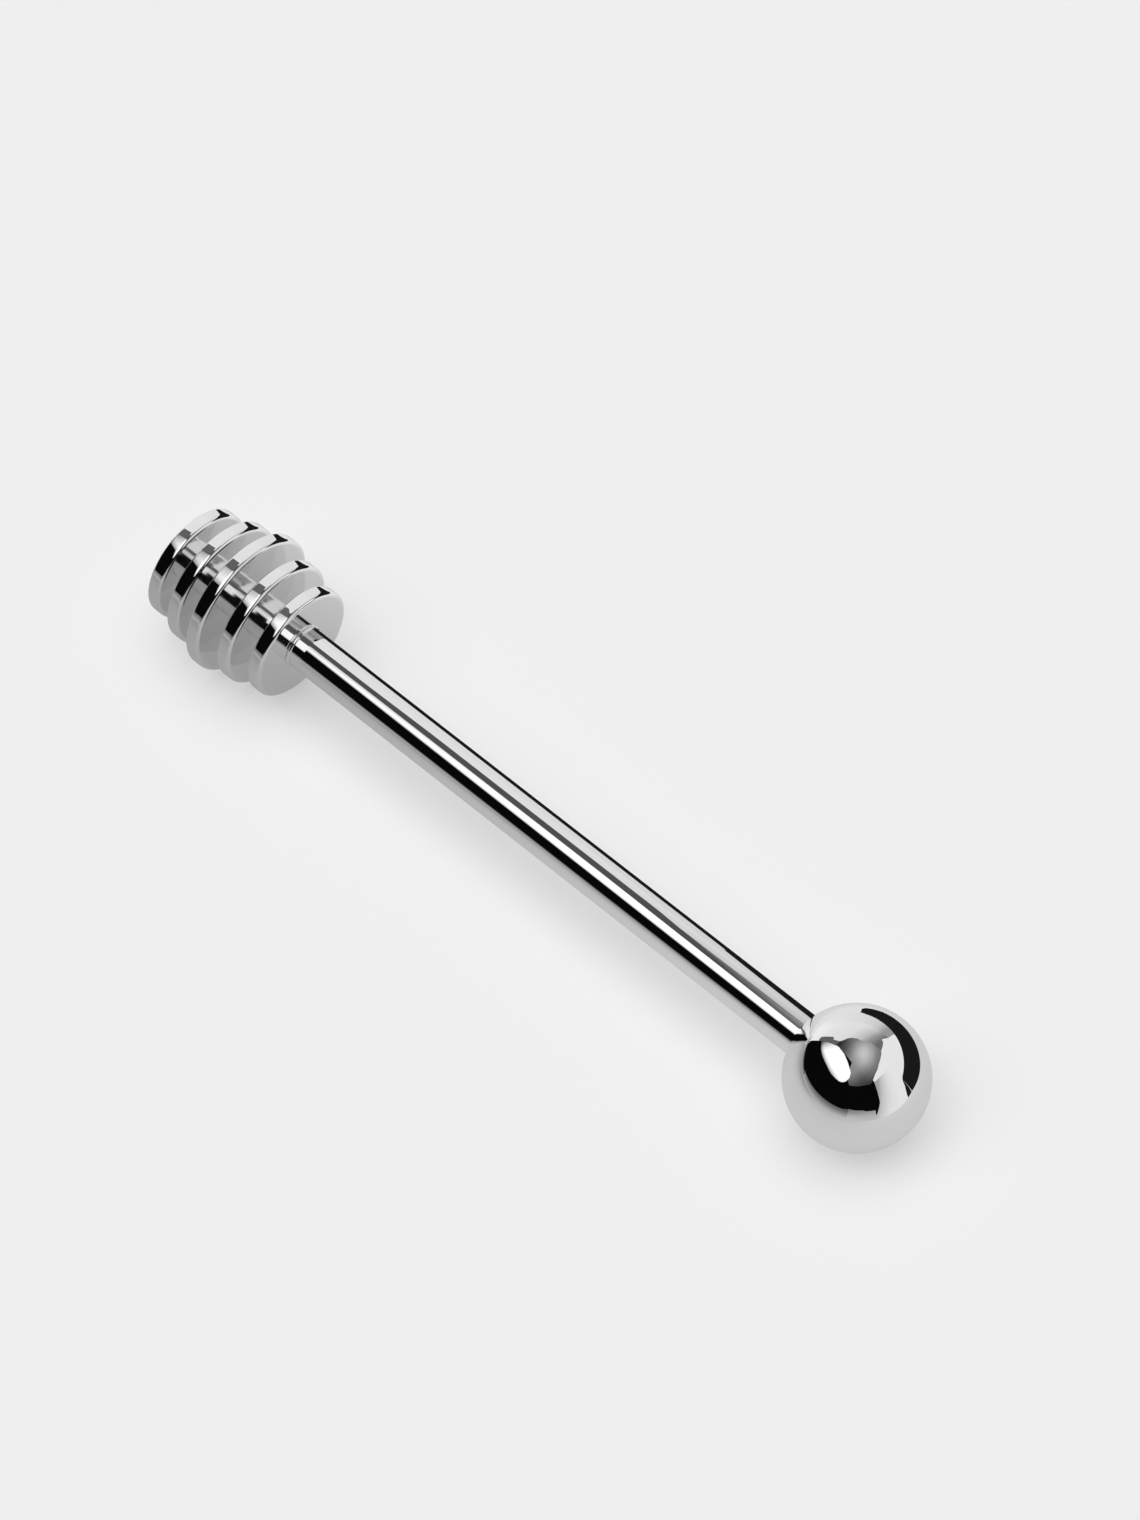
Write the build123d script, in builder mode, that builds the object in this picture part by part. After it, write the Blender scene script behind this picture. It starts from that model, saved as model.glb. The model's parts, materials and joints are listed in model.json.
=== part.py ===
from build123d import *
from math import asin, atan2, cos, degrees, hypot, sin, sqrt
import os

# Honey dipper in mirror-polished silver plate, lying as it comes to rest on a table.
# Millimetres, +Z up, the table is z = 0, and the handle's axis lies in the XZ plane.
# +X runs from the grooved head to the ball. The origin is at the middle of the footprint.

# Ball
ball_radius = 12.5
ball_wall = 1.0
lap_length = 1.5
lap_lip_wall = 0.5

# Handle tube
handle_radius = 4.0
handle_wall = 1.0
handle_show_length = 116.5

# Bush that carries the handle tube inside the ball
bush_wall = 2.5
bush_length = 4.0
tube_overhang = 1.0

# Head: five discs on the tube, counted from the tip
end_disc_radius = 11.1
shoulder_disc_radius = 12.5
middle_disc_radius = 14.0
disc_thickness = 2.75
groove_width = 3.5
disc_edge_round = 0.4

# Peg that holds the tip disc: in the tube's mouth and in a blind socket in the disc's back
peg_tube_length = 6.0
peg_socket_depth = 1.5
peg_chamfer = 0.5

# Bead of braze where the handle enters the head
joint_bead_radius = 0.3

# Radial clearance of every brazed fit
braze_gap = 0.02

disc_radii = [
    end_disc_radius,
    shoulder_disc_radius,
    middle_disc_radius,
    shoulder_disc_radius,
    end_disc_radius,
]

# Stations along the axis, measured from the ball's centre towards the tip
ball_inner_radius = ball_radius - ball_wall
seat_radius = ball_inner_radius - braze_gap
bush_radius = handle_radius + bush_wall
bush_far = sqrt(seat_radius**2 - bush_radius**2)
bush_near = bush_far - bush_length
tube_near = bush_near - tube_overhang
handle_exit = sqrt(ball_radius**2 - handle_radius**2)
head_near = handle_exit + handle_show_length
disc_pitch = disc_thickness + groove_width
disc_near_faces = [
    head_near + disc_pitch * (len(disc_radii) - 1 - place) for place in range(len(disc_radii))
]
tip_disc_near = disc_near_faces[0]
tip_far = tip_disc_near + disc_thickness

bore_radius = handle_radius + braze_gap
tube_bore_radius = handle_radius - handle_wall
peg_radius = tube_bore_radius - braze_gap


def resting_tilt(edge_station, edge_radius):
    """The axis angle at which the ball and one rounded disc edge both touch the table."""
    height_loss = ball_radius - disc_edge_round
    reach = hypot(edge_station, edge_radius)
    return atan2(edge_radius, edge_station) - asin(height_loss / reach)


# The dipper rests on its ball and on whichever disc edge lifts the head the most
edge_centres = [
    (station, radius - disc_edge_round)
    for near_face, radius in zip(disc_near_faces, disc_radii)
    for station in (near_face + disc_edge_round, near_face + disc_thickness - disc_edge_round)
]
tilt = max(resting_tilt(station, radius) for station, radius in edge_centres)

# The footprint runs from the ball's far side to the lowest edge of the tip disc
tip_station, tip_radius = edge_centres[1]
tip_reach = tip_station * cos(tilt) + tip_radius * abs(sin(tilt)) + disc_edge_round
ball_centre = Vector((tip_reach - ball_radius) / 2, 0, ball_radius)
toward_tip = Vector(-cos(tilt), 0, sin(tilt))
dipper_axis = Axis(ball_centre, toward_tip)

# Half sections are drawn with X along the axis, from the ball's centre, and Y outwards
half_section = Plane(origin=ball_centre, x_dir=toward_tip, z_dir=(0, 1, 0))
from_corner = (Align.MIN, Align.MIN)


def plane_across(station):
    """The plane square to the axis at a station, facing the tip."""
    return Plane(origin=ball_centre + toward_tip * station, x_dir=(0, 1, 0), z_dir=toward_tip)


def write(piece, name):
    """Labels a finished piece and writes it as its own node."""
    piece.part.label = name
    export_step(piece.part, f"parts/{name}.step")


os.makedirs("parts", exist_ok=True)

# Ball, front half: faces the head, bored for the handle, rebated for the other half's lip
with BuildPart() as ball_front_shell:
    with BuildSketch(half_section):
        Rectangle(ball_radius, ball_radius, align=from_corner)
        Circle(ball_radius, mode=Mode.INTERSECT)
        Circle(ball_inner_radius, mode=Mode.SUBTRACT)
        Rectangle(ball_radius, bore_radius, align=from_corner, mode=Mode.SUBTRACT)
        rebate_radius = ball_inner_radius + lap_lip_wall + braze_gap
        Rectangle(lap_length, rebate_radius, align=from_corner, mode=Mode.SUBTRACT)
    revolve(axis=dipper_axis)
write(ball_front_shell, "ball_front_shell")

# Ball, back half: a closed cup with a thin lip that slides inside the front half
with BuildPart() as ball_back_shell:
    with BuildSketch(half_section):
        Rectangle(ball_radius, ball_radius, align=(Align.MAX, Align.MIN))
        lip_radius = ball_inner_radius + lap_lip_wall
        Rectangle(lap_length - braze_gap, lip_radius, align=from_corner)
        Circle(ball_radius, mode=Mode.INTERSECT)
        Circle(ball_inner_radius, mode=Mode.SUBTRACT)
    revolve(axis=dipper_axis)
write(ball_back_shell, "ball_back_shell")

# Bush: a thick collar on the tube, its front turned to fit the inside of the ball
with BuildPart() as ball_bush:
    with BuildSketch(half_section):
        with Locations((bush_near, bore_radius)):
            Rectangle(seat_radius - bush_near, bush_radius - bore_radius, align=from_corner)
        Circle(seat_radius, mode=Mode.INTERSECT)
    revolve(axis=dipper_axis)
write(ball_bush, "ball_bush")

# Handle: one drawn tube from inside the ball, through the discs, to the back of the tip disc
with BuildPart() as handle_tube:
    with BuildSketch(plane_across(tube_near)):
        Circle(handle_radius)
        Circle(tube_bore_radius, mode=Mode.SUBTRACT)
    extrude(amount=tip_disc_near - tube_near)
write(handle_tube, "handle_tube")

# Bead: half-round ring of braze round the tube, against the first disc's face
with BuildPart() as joint_bead:
    with BuildSketch(half_section):
        with Locations((head_near - joint_bead_radius, bore_radius)):
            Circle(joint_bead_radius)
            Rectangle(
                2 * joint_bead_radius,
                joint_bead_radius,
                align=(Align.CENTER, Align.MAX),
                mode=Mode.SUBTRACT,
            )
    revolve(axis=dipper_axis)
write(joint_bead, "joint_bead")

# Tip disc: closes the tube's end, with a blind socket for the peg in its back
with BuildPart() as tip_disc:
    with BuildSketch(plane_across(tip_disc_near)):
        Circle(end_disc_radius)
    extrude(amount=disc_thickness)
    fillet(tip_disc.edges().filter_by(GeomType.CIRCLE), disc_edge_round)
    with BuildSketch(plane_across(tip_disc_near)):
        Circle(peg_radius + braze_gap)
    extrude(amount=peg_socket_depth, mode=Mode.SUBTRACT)
write(tip_disc, "tip_disc")

# Peg: a short chamfered pin that joins the tip disc to the tube
with BuildPart() as tip_peg:
    with BuildSketch(plane_across(tip_disc_near - peg_tube_length)):
        Circle(peg_radius)
    extrude(amount=peg_tube_length + peg_socket_depth - braze_gap)
    chamfer(tip_peg.edges().filter_by(GeomType.CIRCLE), peg_chamfer)
write(tip_peg, "tip_peg")

# Bored discs 2 to 5: pushed on to the tube and brazed a groove's width apart
for place, radius in list(enumerate(disc_radii))[1:]:
    with BuildPart() as disc:
        with BuildSketch(plane_across(disc_near_faces[place])):
            Circle(radius)
            Circle(bore_radius, mode=Mode.SUBTRACT)
        extrude(amount=disc_thickness)
        rim_edges = disc.edges().filter_by(GeomType.CIRCLE).group_by(SortBy.RADIUS)[-1]
        fillet(rim_edges, disc_edge_round)
    write(disc, f"disc_{place + 1}")

overall_length = tip_far + ball_radius
print(f"overall length {overall_length:.2f} mm, axis tilt {degrees(tilt):.3f} degrees")
print(f"ball centre {ball_centre.X:.4f}, {ball_centre.Z:.4f}, tip face at {tip_far:.4f} along the axis")
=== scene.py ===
import json
from math import acos, cos, pi, radians, sin, tau

import bmesh
import bpy
from bpy.props import FloatProperty, FloatVectorProperty, IntProperty, PointerProperty
from mathutils import Euler, Matrix, Vector


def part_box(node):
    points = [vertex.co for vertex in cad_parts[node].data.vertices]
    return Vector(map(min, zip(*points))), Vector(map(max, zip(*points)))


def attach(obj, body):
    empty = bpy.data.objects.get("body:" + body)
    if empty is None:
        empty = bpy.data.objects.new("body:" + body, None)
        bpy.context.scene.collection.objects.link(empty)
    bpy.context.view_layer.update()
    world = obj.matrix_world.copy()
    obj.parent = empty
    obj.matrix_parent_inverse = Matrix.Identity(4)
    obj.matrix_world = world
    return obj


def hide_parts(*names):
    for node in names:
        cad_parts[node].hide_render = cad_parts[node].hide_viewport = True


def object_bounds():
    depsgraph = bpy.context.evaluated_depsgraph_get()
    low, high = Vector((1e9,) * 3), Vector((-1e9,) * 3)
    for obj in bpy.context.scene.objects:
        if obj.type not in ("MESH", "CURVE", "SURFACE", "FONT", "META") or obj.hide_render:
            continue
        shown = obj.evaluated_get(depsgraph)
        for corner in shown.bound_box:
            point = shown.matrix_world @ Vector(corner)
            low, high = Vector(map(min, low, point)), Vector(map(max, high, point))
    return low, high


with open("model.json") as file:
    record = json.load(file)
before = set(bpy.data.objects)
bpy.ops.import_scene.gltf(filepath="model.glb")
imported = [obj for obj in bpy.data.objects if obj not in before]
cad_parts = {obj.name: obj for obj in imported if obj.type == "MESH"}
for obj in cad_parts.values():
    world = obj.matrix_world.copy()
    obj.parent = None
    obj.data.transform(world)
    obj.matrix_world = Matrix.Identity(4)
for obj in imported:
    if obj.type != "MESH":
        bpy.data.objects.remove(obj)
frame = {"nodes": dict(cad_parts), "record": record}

# Honey dipper in mirror-polished silver plate: a head of five turned discs on a straight
# handle that ends in a ball. It lies on a pale table, on its ball and its widest disc.

bl_info = {
    "name": "Honey Dipper",
    "version": (1, 0, 0),
    "blender": (4, 5, 0),
    "location": "View3D > Sidebar > Honey Dipper",
    "description": "Makes a silver-plated honey dipper, its finishes and a small photo studio",
    "category": "Add Mesh",
}

mm = 0.001
body = "root"

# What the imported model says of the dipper's sizes and place
cad_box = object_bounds()
mounts = {mount["name"]: mount for mount in frame["record"]["mounts"]}
toward_tip = Vector(mounts["handle_grip"]["axis"]).normalized()
packed_handle = mounts["handle_grip"]["dims"]


def width_of(node):
    """How wide a node is, which for a turned piece is its diameter."""
    low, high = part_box(node)
    return high.y - low.y


packed_ball_radius = width_of("ball_back_shell") / 2
ball_centre = Vector((cad_box[1].x - packed_ball_radius, 0, packed_ball_radius))
handle_middle = Vector(mounts["handle_grip"]["pos_m"])
packed_head_near = (handle_middle - ball_centre).dot(toward_tip) + packed_handle["length_mm"] * mm / 2
packed_tip_far = (Vector(mounts["tip_face"]["pos_m"]) - ball_centre).dot(toward_tip)

# Every piece is turned about X, from the ball's centre, and is then laid along the real axis
across = Vector((0, 1, 0))
lay_down = Matrix((toward_tip, across, toward_tip.cross(across))).transposed().to_4x4()
lay_down.translation = ball_centre
turning_axis = (1, 0, 0)


class DipperSizes(bpy.types.PropertyGroup):
    ball_radius: FloatProperty(
        name="Ball radius",
        description="Radius of the ball at the hand end",
        default=packed_ball_radius,
        subtype="DISTANCE",
        unit="LENGTH",
    )
    ball_wall: FloatProperty(
        name="Ball wall",
        description="Thickness of the hollow ball's wall",
        default=1 * mm,
        subtype="DISTANCE",
        unit="LENGTH",
    )
    handle_radius: FloatProperty(
        name="Handle radius",
        description="Outer radius of the handle tube",
        default=packed_handle["r_mm"] * mm,
        subtype="DISTANCE",
        unit="LENGTH",
    )
    handle_wall: FloatProperty(
        name="Handle wall",
        description="Thickness of the handle tube's wall",
        default=1 * mm,
        subtype="DISTANCE",
        unit="LENGTH",
    )
    disc_thickness: FloatProperty(
        name="Disc thickness",
        description="Thickness of each disc of the head",
        default=2.75 * mm,
        subtype="DISTANCE",
        unit="LENGTH",
    )
    groove_width: FloatProperty(
        name="Groove width",
        description="Gap between two discs, which holds the honey",
        default=3.5 * mm,
        subtype="DISTANCE",
        unit="LENGTH",
    )
    disc_edge_round: FloatProperty(
        name="Disc edge round",
        description="Radius of each disc's outer edge on the side of the tip",
        default=0.4 * mm,
        subtype="DISTANCE",
        unit="LENGTH",
    )
    ball_side_round: FloatProperty(
        name="Ball side round",
        description="Radius of each disc's outer edge on the side of the ball, polished rounder",
        default=0.8 * mm,
        subtype="DISTANCE",
        unit="LENGTH",
    )
    braze_gap: FloatProperty(
        name="Braze gap",
        description="Gap between the tube and what is bored for it",
        default=0.02 * mm,
        subtype="DISTANCE",
        unit="LENGTH",
    )
    joint_bead_radius: FloatProperty(
        name="Joint bead radius",
        description="Radius of the bead of braze where the handle enters the head",
        default=0.3 * mm,
        subtype="DISTANCE",
        unit="LENGTH",
    )
    turning_steps: IntProperty(
        name="Turning steps",
        description="Facets around each turned piece, enough for an even reflection",
        default=256,
    )


class DipperFinish(bpy.types.PropertyGroup):
    polishing_line_spacing: FloatProperty(
        name="Polishing line spacing",
        description="Distance between the hairlines that the polishing mop leaves",
        default=0.12 * mm,
        subtype="DISTANCE",
        unit="LENGTH",
    )
    turning_mark_spacing: FloatProperty(
        name="Turning mark spacing",
        description="Feed of the lathe tool, which is the distance between two turning marks",
        default=0.15 * mm,
        subtype="DISTANCE",
        unit="LENGTH",
    )
    buffing_wave_length: FloatProperty(
        name="Buffing wave length",
        description="Distance between the soft swells that hand buffing leaves in a mirror finish",
        default=7 * mm,
        subtype="DISTANCE",
        unit="LENGTH",
    )


class DipperStage(bpy.types.PropertyGroup):
    camera_elevation: FloatProperty(
        name="Camera elevation",
        description="Angle of the camera above the table",
        default=radians(57.237),
        subtype="ANGLE",
        unit="ROTATION",
    )
    camera_azimuth: FloatProperty(
        name="Camera azimuth",
        description="Turn of the camera around the dipper, from straight in front of it",
        default=radians(42.115),
        subtype="ANGLE",
        unit="ROTATION",
    )
    camera_distance: FloatProperty(
        name="Camera distance",
        description="From the lens to the point on the table that it aims at",
        default=713.656 * mm,
        subtype="DISTANCE",
        unit="LENGTH",
    )
    camera_aim: FloatVectorProperty(
        name="Camera aim",
        description="Point on the table at the middle of the picture",
        default=(-11.054 * mm, 20.606 * mm, 0),
        subtype="XYZ",
        unit="LENGTH",
    )
    camera_lens: FloatProperty(
        name="Camera lens",
        description="Focal length in millimetres, on a sensor as high as the picture",
        default=94.737,
    )
    table_side: FloatProperty(
        name="Table side",
        description="Side of the square table top",
        default=6,
        subtype="DISTANCE",
        unit="LENGTH",
    )


def sizes():
    return bpy.context.scene.dipper_sizes


def finish():
    return bpy.context.scene.dipper_finish


def disc_near_face(place):
    """Station of a disc's face on the ball's side. Place 1 is the tip disc."""
    pitch = sizes().disc_thickness + sizes().groove_width
    return packed_tip_far - sizes().disc_thickness - pitch * (place - 1)


# Materials


def linear(hex_colour):
    """An sRGB hex colour as linear red, green, blue and alpha."""
    channels = [int(hex_colour[start:start + 2], 16) / 255 for start in (1, 3, 5)]
    return (*(c / 12.92 if c <= 0.04045 else ((c + 0.055) / 1.055) ** 2.4 for c in channels), 1)


def add_node(tree, kind, inputs=None, **settings):
    """Adds a node with its settings. An input is linked if it is a socket and set if it is a value."""
    node = tree.nodes.new(kind)
    for name, value in settings.items():
        setattr(node, name, value)
    for name, value in (inputs or {}).items():
        if isinstance(value, bpy.types.NodeSocket):
            tree.links.new(value, node.inputs[name])
        else:
            node.inputs[name].default_value = value
    return node


def new_material(name):
    """An empty node material with its output node."""
    material = bpy.data.materials.new(name)
    material.use_nodes = True
    material.node_tree.nodes.clear()
    return material, material.node_tree, add_node(material.node_tree, "ShaderNodeOutputMaterial")


def place_on_lathe(tree):
    """Socket of a point's place from the ball's centre, with X along the turning axis."""
    place = add_node(tree, "ShaderNodeTexCoord").outputs["Object"]
    return add_node(
        tree,
        "ShaderNodeMapping",
        {"Vector": place, "Location": ball_centre, "Rotation": lay_down.to_euler()},
        vector_type="TEXTURE",
    ).outputs["Vector"]


def ring_marks(tree, on_lathe, spacing, breaks):
    """Fine lines round the turning axis, a spacing apart, each broken a few times on its way round."""
    parts = add_node(tree, "ShaderNodeSeparateXYZ", {"Vector": on_lathe}).outputs
    ring = add_node(tree, "ShaderNodeCombineXYZ", {"Y": parts["Y"], "Z": parts["Z"]})
    radius = add_node(tree, "ShaderNodeVectorMath", {0: ring.outputs["Vector"]}, operation="LENGTH")
    angle = add_node(tree, "ShaderNodeMath", {0: parts["Y"], 1: parts["Z"]}, operation="ARCTAN2")
    measures = {
        "X": (parts["X"], 1 / spacing),
        "Y": (radius.outputs["Value"], 1 / spacing),
        "Z": (angle.outputs["Value"], breaks / tau),
    }
    scaled = {
        axis: add_node(tree, "ShaderNodeMath", {0: of, 1: by}, operation="MULTIPLY").outputs["Value"]
        for axis, (of, by) in measures.items()
    }
    point = add_node(tree, "ShaderNodeCombineXYZ", scaled)
    marks = add_node(
        tree, "ShaderNodeTexNoise", {"Vector": point.outputs["Vector"], "Scale": 1.0, "Detail": 1.0}
    )
    return marks.outputs["Fac"]


def polished_silver_plate():
    """Silver plate on brass, mopped to a mirror: near-sharp reflections that waver, in a faint haze."""
    material, tree, output = new_material("polished_silver_plate")
    on_lathe = place_on_lathe(tree)
    silver = linear("#F8F8F8")
    mirror_haze, haze_spread, breaks = 0.012, 0.02, 9
    hairline_depth, swell_depth = 0.00006 * mm, 0.004 * mm
    lines = ring_marks(tree, on_lathe, finish().polishing_line_spacing, breaks)
    swells = add_node(
        tree,
        "ShaderNodeTexNoise",
        {"Vector": on_lathe, "Scale": 1 / finish().buffing_wave_length, "Detail": 1.0},
    ).outputs["Fac"]
    roughness = add_node(
        tree,
        "ShaderNodeMapRange",
        {"Value": swells, "To Min": mirror_haze, "To Max": mirror_haze + haze_spread},
    ).outputs["Result"]
    swell_bump = add_node(
        tree, "ShaderNodeBump", {"Strength": 1.0, "Distance": swell_depth, "Height": swells}
    )
    line_bump = add_node(
        tree,
        "ShaderNodeBump",
        {
            "Strength": 1.0,
            "Distance": hairline_depth,
            "Height": lines,
            "Normal": swell_bump.outputs["Normal"],
        },
    )
    shader = add_node(
        tree,
        "ShaderNodeBsdfPrincipled",
        {
            "Base Color": silver,
            "Metallic": 1.0,
            "Roughness": roughness,
            "Normal": line_bump.outputs["Normal"],
        },
    )
    tree.links.new(shader.outputs["BSDF"], output.inputs["Surface"])
    return material


def turned_silver_plate():
    """Silver plate over a fine-turned face: a mirror whose rings soften what it reflects."""
    material, tree, output = new_material("turned_silver_plate")
    on_lathe = place_on_lathe(tree)
    silver = linear("#F4F4F4")
    satin, satin_spread, breaks = 0.06, 0.03, 3
    mark_depth = 0.0003 * mm
    marks = ring_marks(tree, on_lathe, finish().turning_mark_spacing, breaks)
    roughness = add_node(
        tree, "ShaderNodeMapRange", {"Value": marks, "To Min": satin, "To Max": satin + satin_spread}
    ).outputs["Result"]
    mark_bump = add_node(
        tree, "ShaderNodeBump", {"Strength": 1.0, "Distance": mark_depth, "Height": marks}
    )
    shader = add_node(
        tree,
        "ShaderNodeBsdfPrincipled",
        {
            "Base Color": silver,
            "Metallic": 1.0,
            "Roughness": roughness,
            "Normal": mark_bump.outputs["Normal"],
        },
    )
    tree.links.new(shader.outputs["BSDF"], output.inputs["Surface"])
    return material


def turned_brass():
    """Bare brass as it leaves the lathe: warm yellow, with brighter and duller rings and no plate."""
    material, tree, output = new_material("turned_brass")
    on_lathe = place_on_lathe(tree)
    bright_brass, dull_brass = linear("#D8BB72"), linear("#C4A254")
    bright, dull, breaks = 0.22, 0.4, 5
    mark_depth = 0.003 * mm
    marks = ring_marks(tree, on_lathe, finish().turning_mark_spacing, breaks)
    colour = add_node(
        tree,
        "ShaderNodeMix",
        {"Factor": marks, "A": bright_brass, "B": dull_brass},
        data_type="RGBA",
    )
    roughness = add_node(tree, "ShaderNodeMapRange", {"Value": marks, "To Min": bright, "To Max": dull})
    mark_bump = add_node(
        tree, "ShaderNodeBump", {"Strength": 1.0, "Distance": mark_depth, "Height": marks}
    )
    shader = add_node(
        tree,
        "ShaderNodeBsdfPrincipled",
        {
            "Base Color": colour.outputs["Result"],
            "Metallic": 1.0,
            "Roughness": roughness.outputs["Result"],
            "Normal": mark_bump.outputs["Normal"],
        },
    )
    tree.links.new(shader.outputs["BSDF"], output.inputs["Surface"])
    return material


def material_named(name):
    """The object's material of that name, made when it is first asked for."""
    makers = {
        "polished_silver_plate": polished_silver_plate,
        "turned_silver_plate": turned_silver_plate,
        "turned_brass": turned_brass,
    }
    return bpy.data.materials.get(name) or makers[name]()


# Turning

polished, turned = 0, 1
sharp_corner = radians(40)
merge_distance = 0.0001 * mm


def wire(bm, points, closed=False):
    """A chain of edges through points, open or closed. A half section's are station and radius."""
    verts = [bm.verts.new(Vector(point).to_3d()) for point in points]
    for first, second in zip(verts, verts[1:]):
        bm.edges.new((first, second))
    if closed:
        bm.edges.new((verts[-1], verts[0]))


def arc_from(bm, vert, angle, steps):
    """Draws an arc about the origin from a vertex, in the half section's plane, and returns its end."""
    drawn = bmesh.ops.spin(
        bm, geom=[vert], cent=(0, 0, 0), axis=(0, 0, 1), angle=angle, steps=steps, use_duplicate=False
    )
    return next(part for part in drawn["geom_last"] if isinstance(part, bmesh.types.BMVert))


def turn(bm):
    """Turns the half section that was drawn into a closed shape with outward faces."""
    bmesh.ops.spin(
        bm,
        geom=bm.verts[:] + bm.edges[:],
        cent=(0, 0, 0),
        axis=turning_axis,
        angle=tau,
        steps=sizes().turning_steps,
        use_merge=True,
        use_duplicate=False,
    )
    bmesh.ops.remove_doubles(bm, verts=bm.verts[:], dist=merge_distance)
    bmesh.ops.recalc_face_normals(bm, faces=bm.faces[:])


def shade(bm):
    """Smooth faces that break only at real corners."""
    for face in bm.faces:
        face.smooth = True
    for edge in bm.edges:
        edge.smooth = edge.calc_face_angle(pi) < sharp_corner


def same(first, second):
    """Whether two lengths are as good as equal."""
    return abs(first - second) < merge_distance


def to_object(bm, name, *materials):
    """Puts the drawn shape into the scene, with its materials."""
    mesh = bpy.data.meshes.new(name)
    bm.to_mesh(mesh)
    bm.free()
    for material in materials:
        mesh.materials.append(material)
    thing = bpy.data.objects.new(name, mesh)
    bpy.context.scene.collection.objects.link(thing)
    return thing


def add_piece(bm, name, *nodes):
    """Lays the turned shape along the dipper's axis as the plated piece that stands for its nodes."""
    shade(bm)
    bmesh.ops.transform(bm, matrix=lay_down, verts=bm.verts[:])
    finishes = material_named("polished_silver_plate"), material_named("turned_silver_plate")
    piece = to_object(bm, name, *finishes)
    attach(piece, body)
    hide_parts(*nodes)
    return piece


def even_flats(piece):
    """Keeps flat faces flat in their reflections, right up to the rounded edges beside them."""
    only_by_area = 100
    weighted = piece.modifiers.new("even_flats", "WEIGHTED_NORMAL")
    weighted.weight = only_by_area
    weighted.keep_sharp = True


# Head

disc_nodes = ["tip_disc", "disc_2", "disc_3", "disc_4", "disc_5"]
edge_round_steps = 8
circular = 0.5
square_to_axis = 0.999


def round_rim_edge(bm, station, disc_radius, edge_round):
    """Rounds the outer edge that a turned disc has at a station."""
    rim_edge = [
        edge
        for edge in bm.edges
        if all(same(vert.co.yz.length, disc_radius) and same(vert.co.x, station) for vert in edge.verts)
    ]
    bmesh.ops.bevel(
        bm,
        geom=rim_edge,
        offset=edge_round,
        offset_type="OFFSET",
        segments=edge_round_steps,
        profile=circular,
        affect="EDGES",
        material=-1,
    )


def turn_disc(bm, near, disc_radius, inner_radius):
    """A disc with rounded rim edges, solid or bored, whose flat faces keep the lathe's marks."""
    far = near + sizes().disc_thickness
    section = [(near, inner_radius), (near, disc_radius), (far, disc_radius), (far, inner_radius)]
    wire(bm, section, closed=inner_radius > 0)
    turn(bm)
    round_rim_edge(bm, near, disc_radius, sizes().ball_side_round)
    round_rim_edge(bm, far, disc_radius, sizes().disc_edge_round)
    for face in bm.faces:
        face.material_index = turned if abs(face.normal.x) > square_to_axis else polished


class AddHead(bpy.types.Operator):
    """Turn the five discs of the head"""

    bl_idname = "honey_dipper.add_head"
    bl_label = "Add Head Discs"

    def execute(self, context):
        bore_radius = sizes().handle_radius + sizes().braze_gap
        for place, node in enumerate(disc_nodes, start=1):
            bm = bmesh.new()
            inner_radius = 0 if node == "tip_disc" else bore_radius
            turn_disc(bm, disc_near_face(place), width_of(node) / 2, inner_radius)
            even_flats(add_piece(bm, f"{node}_plated", node))
        return {"FINISHED"}


class AddJointBead(bpy.types.Operator):
    """Turn the bead of braze where the handle enters the head"""

    bl_idname = "honey_dipper.add_joint_bead"
    bl_label = "Add Joint Bead"

    def execute(self, context):
        bead_steps = 12
        bead = sizes().joint_bead_radius
        bore_radius = sizes().handle_radius + sizes().braze_gap
        bm = bmesh.new()
        start = bm.verts.new((bead, 0, 0))
        end = arc_from(bm, start, pi, bead_steps)
        bm.edges.new((end, start))
        bmesh.ops.translate(bm, verts=bm.verts[:], vec=(packed_head_near - bead, bore_radius, 0))
        turn(bm)
        add_piece(bm, "joint_bead_plated", "joint_bead")
        return {"FINISHED"}


class AddHandle(bpy.types.Operator):
    """Draw the handle tube from inside the ball to the back of the tip disc"""

    bl_idname = "honey_dipper.add_handle"
    bl_label = "Add Handle Tube"

    def execute(self, context):
        outer, bore = sizes().handle_radius, sizes().handle_radius - sizes().handle_wall
        low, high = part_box("handle_tube")
        tilted_ends = 2 * outer * abs(toward_tip.z)
        tube_far = disc_near_face(1)
        tube_near = tube_far - (high.x - low.x - tilted_ends) / abs(toward_tip.x)
        section = [
            (tube_near, bore),
            (tube_near, outer),
            (packed_head_near, outer),
            (tube_far, outer),
            (tube_far, bore),
        ]
        bm = bmesh.new()
        wire(bm, section, closed=True)
        turn(bm)
        for face in bm.faces:
            in_head = face.calc_center_median().x > packed_head_near
            face.material_index = turned if in_head else polished
        add_piece(bm, "handle_tube_plated", "handle_tube")
        return {"FINISHED"}


# Ball

ball_arc_steps = 96


def true_round(mesh, radius):
    """Gives the ball's outer wall the exact normals of a sphere, so that its two halves meet unseen."""
    outer_wall = radius - sizes().ball_wall / 2
    normals = []
    for polygon in mesh.polygons:
        far_out = (polygon.center - ball_centre).length > outer_wall
        outside = far_out and polygon.material_index == polished
        for loop in polygon.loop_indices:
            place = mesh.vertices[mesh.loops[loop].vertex_index].co
            normals.append((place - ball_centre).normalized() if outside else polygon.normal)
    mesh.normals_split_custom_set(normals)


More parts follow.
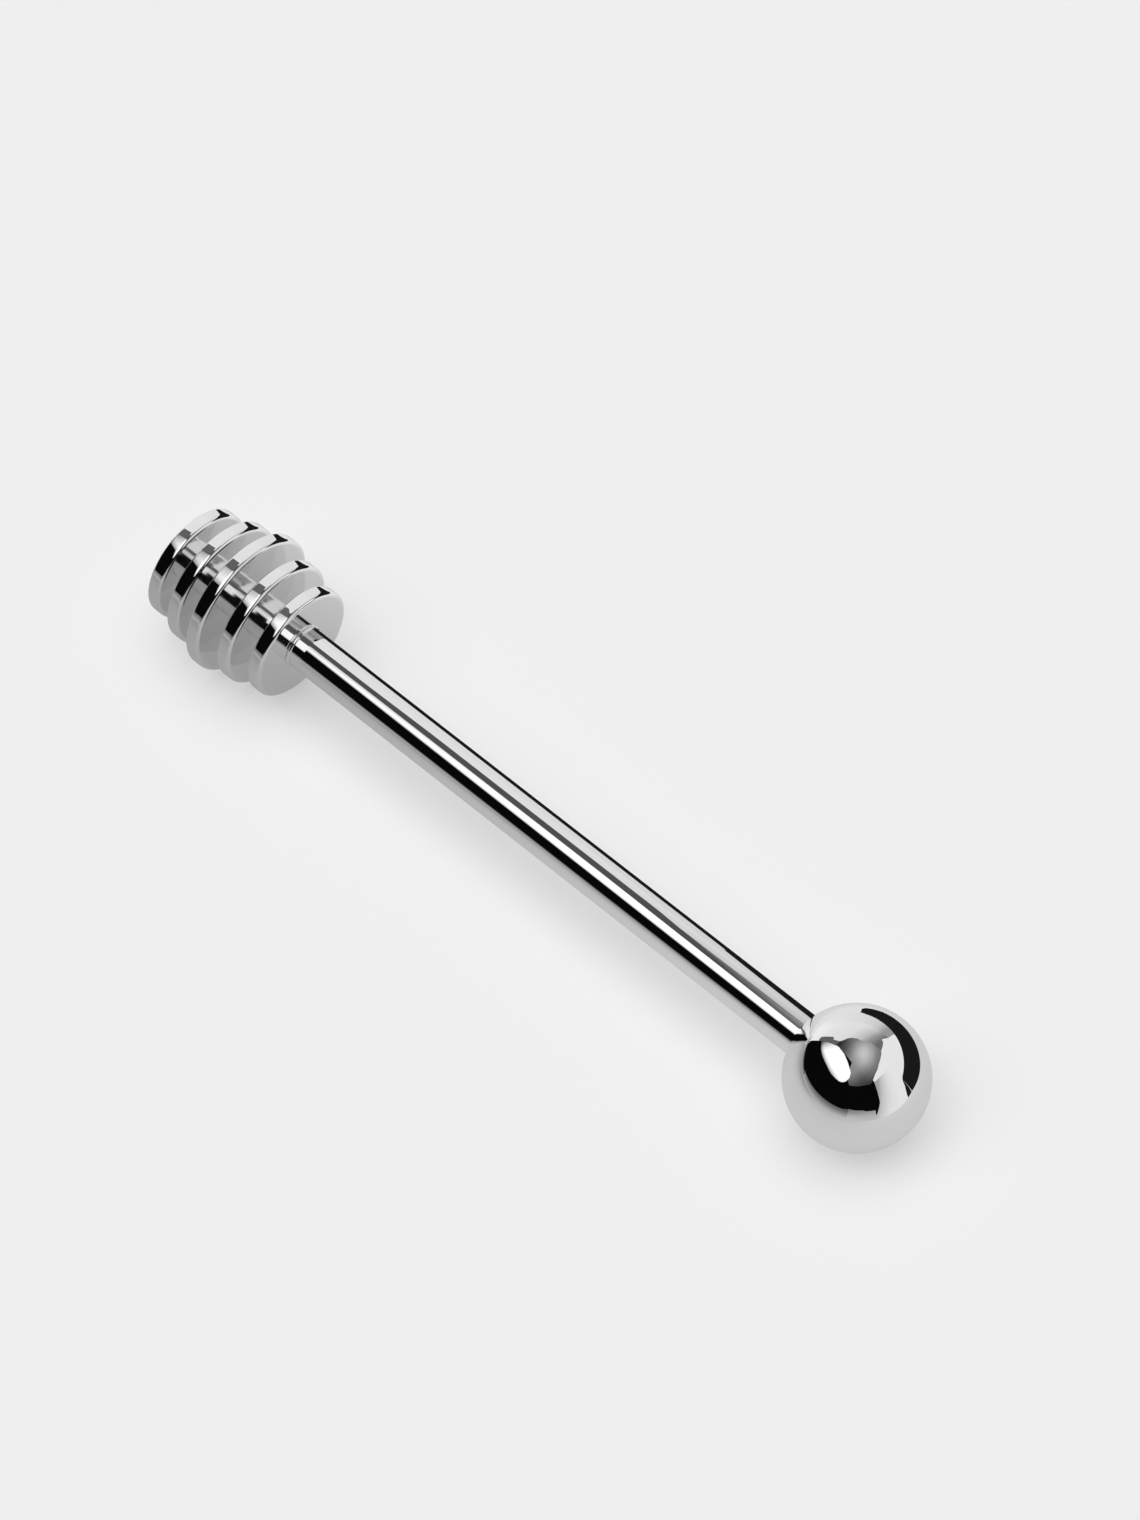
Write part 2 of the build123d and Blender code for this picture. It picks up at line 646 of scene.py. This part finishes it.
def turn_ball_half(bm, facing, mouth_radius):
    """A hollow half ball, with a mouth or closed. Facing is 1 towards the head and -1 away from it."""
    wall_ends = []
    for radius in (sizes().ball_radius, sizes().ball_radius - sizes().ball_wall):
        equator = bm.verts.new((0, radius, 0))
        sweep = acos(mouth_radius / radius)
        mouth = arc_from(bm, equator, -facing * sweep, ball_arc_steps)
        wall_ends.append((equator, mouth))
    (outer_equator, outer_mouth), (inner_equator, inner_mouth) = wall_ends
    bm.edges.new((outer_equator, inner_equator))
    if mouth_radius:
        bm.edges.new((outer_mouth, inner_mouth))
    turn(bm)
    for face in bm.faces:
        flat = abs(face.normal.x) > square_to_axis and same(face.calc_center_median().x, 0)
        face.material_index = turned if flat else polished


class AddBall(bpy.types.Operator):
    """Spin the two halves of the hollow ball"""

    bl_idname = "honey_dipper.add_ball"
    bl_label = "Add Ball"

    def execute(self, context):
        bore_radius = sizes().handle_radius + sizes().braze_gap
        halves = [("ball_front_shell", 1, bore_radius), ("ball_back_shell", -1, 0)]
        for node, facing, mouth_radius in halves:
            bm = bmesh.new()
            turn_ball_half(bm, facing, mouth_radius)
            piece = add_piece(bm, f"{node}_plated", node)
            true_round(piece.data, sizes().ball_radius)
        return {"FINISHED"}


class FinishInnerFittings(bpy.types.Operator):
    """Give the bush and the peg inside the dipper their bare turned brass"""

    bl_idname = "honey_dipper.finish_inner_fittings"
    bl_label = "Finish Inner Fittings"

    def execute(self, context):
        for node in ("ball_bush", "tip_peg"):
            fitting = frame["nodes"][node]
            fitting.data.materials.clear()
            fitting.data.materials.append(material_named("turned_brass"))
        return {"FINISHED"}


# Studio


def seen_only_in_gloss(thing):
    """Keeps a lit card or a flag out of the picture itself: only the polished metal shows it."""
    thing.visible_camera = False
    thing.visible_diffuse = False
    thing.visible_transmission = False
    thing.visible_shadow = False


def along(tree, direction):
    """Socket of a point's distance along a direction, in millimetres."""
    place = add_node(tree, "ShaderNodeTexCoord").outputs["Object"]
    per_mm = Vector(direction) / mm
    return add_node(
        tree, "ShaderNodeVectorMath", {0: place, 1: per_mm}, operation="DOT_PRODUCT"
    ).outputs["Value"]


def within_oval(tree, oval):
    """Socket of how far out in an oval a point lies, from 0 in its middle to 1 at its edge and on."""
    middle, turned_by, half_widths = oval
    place = add_node(tree, "ShaderNodeTexCoord").outputs["Object"]
    shares = add_node(
        tree,
        "ShaderNodeMapping",
        {
            "Vector": place,
            "Location": Vector(middle) * mm,
            "Rotation": (0, 0, turned_by),
            "Scale": Vector(half_widths) * mm,
        },
        vector_type="TEXTURE",
    ).outputs["Vector"]
    return add_node(tree, "ShaderNodeVectorMath", {0: shares}, operation="LENGTH").outputs["Value"]


def graded(tree, distance, stops):
    """Socket of a grey that runs smoothly through stops, each a distance and a level."""
    first, last = stops[0][0], stops[-1][0]
    share = add_node(
        tree, "ShaderNodeMapRange", {"Value": distance, "From Min": first, "From Max": last}
    ).outputs["Result"]
    ramp = add_node(tree, "ShaderNodeValToRGB", {"Fac": share})
    elements = ramp.color_ramp.elements
    for stop, level in stops[1:-1]:
        elements.new((stop - first) / (last - first))
    for element, (stop, level) in zip(elements, stops):
        element.color = (level, level, level, 1)
    ramp.color_ramp.interpolation = "CARDINAL"
    return ramp.outputs["Color"]


def glow(name, level, *fades, reach=None):
    """Light of one level, which may fade by place and may be seen only from nearby.

    Each fade is a measure of place, what it measures from, and the stops of its levels. A reach, in
    millimetres, hides the light from all but the metal that is nearer to it than that.
    """
    material, tree, output = new_material(name)
    light = add_node(tree, "ShaderNodeEmission", {"Strength": level})
    dimmed = (1, 1, 1)
    for measure, of, stops in fades:
        shares = graded(tree, measure(tree, of), stops)
        dimmed = add_node(
            tree, "ShaderNodeVectorMath", {0: shares, 1: dimmed}, operation="MULTIPLY"
        ).outputs["Vector"]
        tree.links.new(dimmed, light.inputs["Color"])
    surface = light.outputs["Emission"]
    if reach:
        away = add_node(tree, "ShaderNodeLightPath").outputs["Ray Length"]
        too_far = add_node(tree, "ShaderNodeMath", {0: away, 1: reach * mm}, operation="GREATER_THAN")
        clear = add_node(tree, "ShaderNodeBsdfTransparent").outputs["BSDF"]
        surface = add_node(
            tree, "ShaderNodeMixShader", {0: too_far.outputs["Value"], 1: surface, 2: clear}
        ).outputs["Shader"]
    tree.links.new(surface, output.inputs["Surface"])
    return material


def card(name, corners, material):
    """A flat card through corners given in millimetres, seen only as a reflection."""
    bm = bmesh.new()
    wire(bm, [Vector(corner) * mm for corner in corners], closed=True)
    bmesh.ops.contextual_create(bm, geom=bm.edges[:])
    seen_only_in_gloss(to_object(bm, name, material))


def at_height(height, plan):
    """Corners at one height over a plan of X and Y, in millimetres."""
    return [(x, y, height) for x, y in plan]


def upright(y, outline):
    """Corners of a card that stands across Y, from its outline of X and Z, in millimetres."""
    return [(x, y, z) for x, z in outline]


# Places in the studio, in millimetres, and the light levels that its cards share
box_height, scrim_height, gap_height, ceiling_height, ceiling_right_height = 164, 165, 166, 168, 169
back_wall_y, side_wall_x, far_end_x, room_height = 250, 200, -1600, 172
past_back_y, past_side_x, ceiling_front_y = 252, 202, -8
pale_level, right_level, black_level = 0.89, 0.83, 0.01
pale_colour = "#EFEFEF"


def add_overhead_cards():
    """A soft box, a dim scrim beside it, the gap that parts them and the pale ceiling beyond."""
    box_level, scrim_level, gap_level = 1.1, 0.9, 0.12
    soft_box_plan = [
        (-255, -12), (-150, -6), (-35, -6), (12, -20), (49, -41), (82, -66), (92, -90), (90, -118),
        (80, -135), (61, -147), (3, -142), (-22, -131), (-52, -116), (-90, -103), (-131, -88), (-190, -60),
    ]
    soft_box_fades = [
        (along, (0.5, -1, 0), [(-90, 0.18), (-60, 0.45), (-40, 0.65), (-20, 0.84), (0, 1)]),
        (along, (0.39, 0.92, 0), [(-130, 0.27), (-120, 0.52), (-112, 0.72), (-104, 0.88), (-95, 1)]),
    ]
    soft_box_light = glow("soft_box_light", box_level, *soft_box_fades)
    card("soft_box", at_height(box_height, soft_box_plan), soft_box_light)
    scrim_plan = [
        (-60, 2), (-45, 26), (-25, 52), (0, 68), (25, 70), (60, 92), (112, 98), (125, 80), (145, 40),
        (158, 20), (165, 0), (190, -40), (190, -55), (149, -106), (118, -130), (85, -100), (60, -30),
    ]
    scrim_oval = (72, -27.5, scrim_height), radians(10.3), (43, 81, 43)
    scrim_fades = [
        (
            within_oval,
            scrim_oval,
            [(0, 1), (0.5, 0.91), (0.75, 0.74), (1, 0.56), (1.5, 0.31), (2, 0.2), (2.5, 0.1), (3, 0.05)],
        ),
        (along, (0.35, 0.936, 0), [(-14, 0.31), (10, 0.41), (35, 0.65), (60, 0.9), (84, 1)]),
    ]
    scrim_light = glow("scrim_light", scrim_level, *scrim_fades)
    card("scrim", at_height(scrim_height, scrim_plan), scrim_light)
    gap_plan = [
        (-400, ceiling_front_y), (-400, 36), (-125, 36), (-110, 20), (-60, 20), (-45, 28), (-30, 50),
        (-15, 62), (0, 62), (0, ceiling_front_y),
    ]
    gap_fade = along, (1, 0, 0), [(-60, 1), (-20, 0.5)]
    gap_light = glow("overhead_gap_light", gap_level, gap_fade)
    card("overhead_gap", at_height(gap_height, gap_plan), gap_light)
    ceiling_plan = [
        (far_end_x, ceiling_front_y), (60, ceiling_front_y), (112, 98), (105, 120), (97, 140),
        (88, 160), (75, 168), (73, 180), (85, past_back_y), (far_end_x, past_back_y),
    ]
    ceiling_fade = along, (1, 0, 0), [
        (-700, 1), (-350, 0.95), (-60, 0.865), (-40, 0.83), (-20, 0.76), (0, 0.68), (20, 0.58),
        (40, 0.39), (60, 0.27), (80, 0.17),
    ]
    ceiling_light = glow("ceiling_light", pale_level, ceiling_fade)
    card("ceiling", at_height(ceiling_height, ceiling_plan), ceiling_light)
    right_plan = [(60, -28), (past_side_x, -28), (past_side_x, past_back_y), (60, past_back_y)]
    right_light = glow("ceiling_right_light", right_level)
    card("ceiling_right", at_height(ceiling_right_height, right_plan), right_light)


def add_wall_cards():
    """Pale walls behind and beside the dipper, and the dim foot of the walls on the camera's side."""
    side_level, near_level, near_right_level, near_left_level = 0.82, 0.433, 0.51, 0.35
    back_fade = along, (1, 0, 0), [
        (-760, 1), (-500, 0.945), (-235, 0.88), (-100, 0.83), (-30, 0.74), (0, 0.65), (20, 0.5),
        (40, 0.38), (60, 0.36),
    ]
    back_outline = [(far_end_x, 0), (68, 0), (85, room_height), (far_end_x, room_height)]
    back_light = glow("back_wall_light", pale_level, back_fade)
    card("back_wall", upright(back_wall_y, back_outline), back_light)
    far_end = [
        (far_end_x, ceiling_front_y, 0), (far_end_x, past_back_y, 0),
        (far_end_x, past_back_y, room_height), (far_end_x, ceiling_front_y, room_height),
    ]
    card("far_end", far_end, glow("far_end_light", pale_level))
    right_outline = [(68, 0), (past_side_x, 0), (past_side_x, room_height), (85, room_height)]
    back_right_light = glow("back_wall_right_light", right_level)
    card("back_wall_right", upright(back_wall_y, right_outline), back_right_light)
    side_wall = [
        (side_wall_x, -62, 0), (side_wall_x, -58, 20), (side_wall_x, -40, 60),
        (side_wall_x, -30, room_height), (side_wall_x, past_back_y, room_height),
        (side_wall_x, past_back_y, 0),
    ]
    side_fade = along, (0, 1, -0.4), [(-76, 0.45), (-58, 0.66), (-40, 0.8), (-24, 0.91), (16, 1)]
    card("side_wall", side_wall, glow("side_wall_light", side_level, side_fade))
    near_wall_y, left_wall_x = -250, -250
    near_fade = along, (0, 0, 1), [(0, 1), (15, 0.83), (30, 0.58), (45, 0.37), (60, 0.25), (76, 0.1)]
    near_outline = [
        (-300, 0), (past_side_x, 0), (past_side_x, 76), (160, 60), (100, 58), (0, 56), (-100, 52),
        (-200, 46), (-300, 36),
    ]
    near_light = glow("near_wall_light", near_level, near_fade)
    card("near_wall", upright(near_wall_y, near_outline), near_light)
    right_fade = along, (0, 0, 1), [(0, 1), (15, 0.94), (30, 0.76), (45, 0.55), (60, 0.43), (78, 0.1)]
    near_right = [
        (side_wall_x, near_wall_y, 0), (side_wall_x, -62, 0), (side_wall_x, -62, 38),
        (side_wall_x, -100, 44), (side_wall_x, -120, 52), (side_wall_x, -180, 60),
        (side_wall_x, near_wall_y, 78),
    ]
    near_right_light = glow("near_wall_right_light", near_right_level, right_fade)
    card("near_wall_right", near_right, near_right_light)
    left_fade = along, (0, 0, 1), [(0, 1), (15, 0.6), (30, 0)]
    near_left = [
        (left_wall_x, near_wall_y, 0), (left_wall_x, -60, 0), (left_wall_x, -60, 30),
        (left_wall_x, near_wall_y, 30),
    ]
    near_left_light = glow("near_wall_left_light", near_left_level, left_fade)
    card("near_wall_left", near_left, near_left_light)


def beside_axis(station, angle, distance):
    """A corner beside the axis, in millimetres, its angle in degrees up from level on the far side."""
    raised = radians(angle)
    place = Vector((station, distance * cos(raised), -distance * sin(raised)))
    return (lay_down @ (place * mm)) / mm


def add_flag_and_painted_handle_lines():
    """A black flag behind the dipper, and two slim dark cards that paint dark lines into the handle's
    reflection, seen from it alone.
    """
    dark = glow("flag_dark", black_level)
    far_flag_y, flag_end_x = 68, 196
    flag_foot = [(flag_end_x, 70, 0), (80, 70, 0), (62, 66, 0), (48, 58, 0), (32, 60, 0), (20, 72, 0)]
    flag_outline = [(20, 21), (30, 27), (50, 34), (80, 41), (120, 50), (180, 63), (flag_end_x, 62)]
    card("far_flag", flag_foot + upright(far_flag_y, flag_outline), dark)
    end_outline = [(far_flag_y, 0), (far_flag_y, 62), (63, 53), (59, 41), (53, 29), (48, 14), (48, 0)]
    card("far_flag_end", [(flag_end_x, y, z) for y, z in end_outline], dark)
    # The two slim cards by the handle are painted dark reflection lines: their reach lets only the handle
    # close by mirror them.
    beside_handle, handle_reach, top_line_level = 4.35, 1.7, 0.08
    side_outline = [(12, 13.1), (12, 48.8), (128.2, 48.8), (128.2, 13.1)]
    side_line_card = [beside_axis(station, angle, beside_handle) for station, angle in side_outline]
    card("handle_side_painted_line", side_line_card, glow("side_painted_dark_line", black_level, reach=handle_reach))
    top_outline = [
        (128.2, 101.7), (128.2, 90.3), (111.9, 89.5), (96.9, 86.6), (43.9, 86.6), (35.9, 91.6),
        (28.9, 96.3), (28.9, 101.7),
    ]
    top_line_card = [beside_axis(station, angle, beside_handle) for station, angle in top_outline]
    card("handle_top_painted_line", top_line_card, glow("top_painted_dark_line", top_line_level, reach=handle_reach))


def add_painted_rim_marks():
    """Small dark cards, one by each disc, that paint a dark wedge and a thin dark line into its rim's
    reflection.
    """
    # Painted dark reflection marks: the reach keeps each card out of all but its own rim's reflection.
    rim_gap, rim_reach = 0.6, 2.6
    dark = glow("rim_painted_dark", black_level, reach=rim_reach)
    outline = [
        (1.37, 66), (0.08, 62.6), (-0.73, 57), (-1.45, 51.3), (-3.36, 47.2), (-3.45, 41.8),
        (-2.02, 40.5), (-0.94, 37.6), (-0.04, 38.1), (0.58, 41), (0.83, 49.1), (1.1, 57.5),
    ]
    for place, node in enumerate(disc_nodes, start=1):
        near, beside_rim = disc_near_face(place) / mm, width_of(node) / 2 / mm + rim_gap
        corners = [beside_axis(near - outward, angle, beside_rim) for outward, angle in outline]
        card(f"{node}_rim_painted_mark", corners, dark)


def table_top_material():
    """Matt pale paper with a soft shadow. The metal sees a dimmer tone of it with painted shade and light:
    darker towards the head's end and the camera's side, lighter behind the dipper.
    """
    material, tree, output = new_material("matt_paper")
    paper = linear(pale_colour)
    seen_evenness, mirrored_evenness = 0.54, 0.8
    # Painted light and shade on the table for the metal alone: the tone falls towards the head's end and
    # the camera's side and rises behind the dipper.
    shade_stops_by_x = [(-80, 0.37), (-30, 0.457), (0, 0.516), (30, 0.575), (100, 0.6), (180, 0.64)]
    painted_shade_near = graded(tree, along(tree, (1, 0, 0)), shade_stops_by_x)
    painted_light_far = graded(tree, along(tree, (1, 0, 0)), [(30, 0.78), (75, 0.63), (180, 0.68)])
    farness = graded(tree, along(tree, (0, 1, 0)), [(-5, 0), (45, 1)])
    painted_light_and_shade = add_node(
        tree, "ShaderNodeMix", {"Factor": farness, "A": painted_shade_near, "B": painted_light_far}, data_type="RGBA"
    ).outputs["Result"]
    painted_shade_towards_camera = graded(tree, along(tree, (0, 1, 0)), [(-140, 0.83), (-80, 0.92), (-20, 1)])
    painted_tone = add_node(
        tree, "ShaderNodeVectorMath", {0: painted_light_and_shade, 1: painted_shade_towards_camera}, operation="MULTIPLY"
    ).outputs["Vector"]
    seen = add_node(tree, "ShaderNodeLightPath").outputs["Is Camera Ray"]
    colour = add_node(
        tree, "ShaderNodeMix", {"Factor": seen, "A": painted_tone, "B": paper}, data_type="RGBA"
    ).outputs["Result"]
    matt = add_node(tree, "ShaderNodeBsdfDiffuse", {"Color": colour}).outputs["BSDF"]
    even = add_node(tree, "ShaderNodeEmission", {"Color": colour}).outputs["Emission"]
    evenness = add_node(
        tree, "ShaderNodeMapRange", {"Value": seen, "To Min": mirrored_evenness, "To Max": seen_evenness}
    ).outputs["Result"]
    surface = add_node(tree, "ShaderNodeMixShader", {0: evenness, 1: matt, 2: even})
    tree.links.new(surface.outputs["Shader"], output.inputs["Surface"])
    return material


def add_table_top():
    """A plain table top that fills the picture and catches the shadow."""
    half_side = bpy.context.scene.dipper_stage.table_side / 2
    bm = bmesh.new()
    bmesh.ops.create_grid(bm, x_segments=1, y_segments=1, size=half_side)
    table_top = to_object(bm, "table_top", table_top_material())


def add_lamp(name, level, spread, from_where):
    """A soft lamp that lights the table evenly and that the metal doesn't mirror."""
    lamp = bpy.data.lights.new(name, "SUN")
    lamp.energy = level
    lamp.angle = spread
    thing = bpy.data.objects.new(name, lamp)
    thing.rotation_euler = Vector(from_where).to_track_quat("Z", "Y").to_euler()
    thing.visible_glossy = False
    bpy.context.scene.collection.objects.link(thing)


def add_world():
    """A pale background for the camera. The metal sees a dark room round the studio's cards."""
    dark_room = linear("#080808")
    world = bpy.data.worlds.new("studio")
    world.use_nodes = True
    tree = world.node_tree
    tree.nodes.clear()
    seen = add_node(tree, "ShaderNodeLightPath").outputs["Is Camera Ray"]
    room = add_node(
        tree,
        "ShaderNodeMix",
        {"Factor": seen, "A": dark_room, "B": linear(pale_colour)},
        data_type="RGBA",
    )
    background = add_node(tree, "ShaderNodeBackground", {"Color": room.outputs["Result"]})
    output = add_node(tree, "ShaderNodeOutputWorld")
    tree.links.new(background.outputs["Background"], output.inputs["Surface"])
    bpy.context.scene.world = world


def add_camera():
    """The camera at the photo's angle, with everything in focus."""
    stage = bpy.context.scene.dipper_stage
    lens = bpy.data.cameras.new("camera")
    lens.lens = stage.camera_lens
    camera = bpy.data.objects.new("camera", lens)
    turn_to_view = Euler((pi / 2 - stage.camera_elevation, 0, stage.camera_azimuth))
    camera.rotation_euler = turn_to_view
    backward = turn_to_view.to_matrix() @ Vector((0, 0, 1))
    camera.location = Vector(stage.camera_aim) + backward * stage.camera_distance
    bpy.context.scene.collection.objects.link(camera)
    bpy.context.scene.camera = camera


class SetStage(bpy.types.Operator):
    """Set the table, the lamps, the cards that the metal mirrors, and the camera"""

    bl_idname = "honey_dipper.set_stage"
    bl_label = "Set Stage"

    def execute(self, context):
        add_table_top()
        add_overhead_cards()
        add_wall_cards()
        add_flag_and_painted_handle_lines()
        add_painted_rim_marks()
        overhead_level, overhead_spread, overhead_from = 2.39, radians(60), (0, 0, 1)
        key_level, key_spread, key_from = 0.92, radians(40), (-0.287, -0.497, 0.819)
        add_lamp("overhead_lamp", overhead_level, overhead_spread, overhead_from)
        add_lamp("key_lamp", key_level, key_spread, key_from)
        add_world()
        add_camera()
        context.scene.view_settings.view_transform = "Standard"
        return {"FINISHED"}


class HoneyDipperPanel(bpy.types.Panel):
    bl_idname = "VIEW3D_PT_honey_dipper"
    bl_label = "Honey Dipper"
    bl_space_type = "VIEW_3D"
    bl_region_type = "UI"
    bl_category = "Honey Dipper"

    def draw(self, context):
        scene = context.scene
        for operator in operators:
            self.layout.operator(operator.bl_idname)
        for settings in (scene.dipper_sizes, scene.dipper_finish, scene.dipper_stage):
            for name in settings.__annotations__:
                self.layout.prop(settings, name)


operators = (AddHead, AddJointBead, AddHandle, AddBall, FinishInnerFittings, SetStage)
classes = (DipperSizes, DipperFinish, DipperStage, *operators, HoneyDipperPanel)


def register():
    for each in classes:
        bpy.utils.register_class(each)
    bpy.types.Scene.dipper_sizes = PointerProperty(type=DipperSizes)
    bpy.types.Scene.dipper_finish = PointerProperty(type=DipperFinish)
    bpy.types.Scene.dipper_stage = PointerProperty(type=DipperStage)


def unregister():
    del bpy.types.Scene.dipper_stage
    del bpy.types.Scene.dipper_finish
    del bpy.types.Scene.dipper_sizes
    for each in reversed(classes):
        bpy.utils.unregister_class(each)


def main():
    register()
    bpy.ops.honey_dipper.add_head()
    bpy.ops.honey_dipper.add_joint_bead()
    bpy.ops.honey_dipper.add_handle()
    bpy.ops.honey_dipper.add_ball()
    bpy.ops.honey_dipper.finish_inner_fittings()
    bpy.ops.honey_dipper.set_stage()


if __name__ == "__main__":
    main()
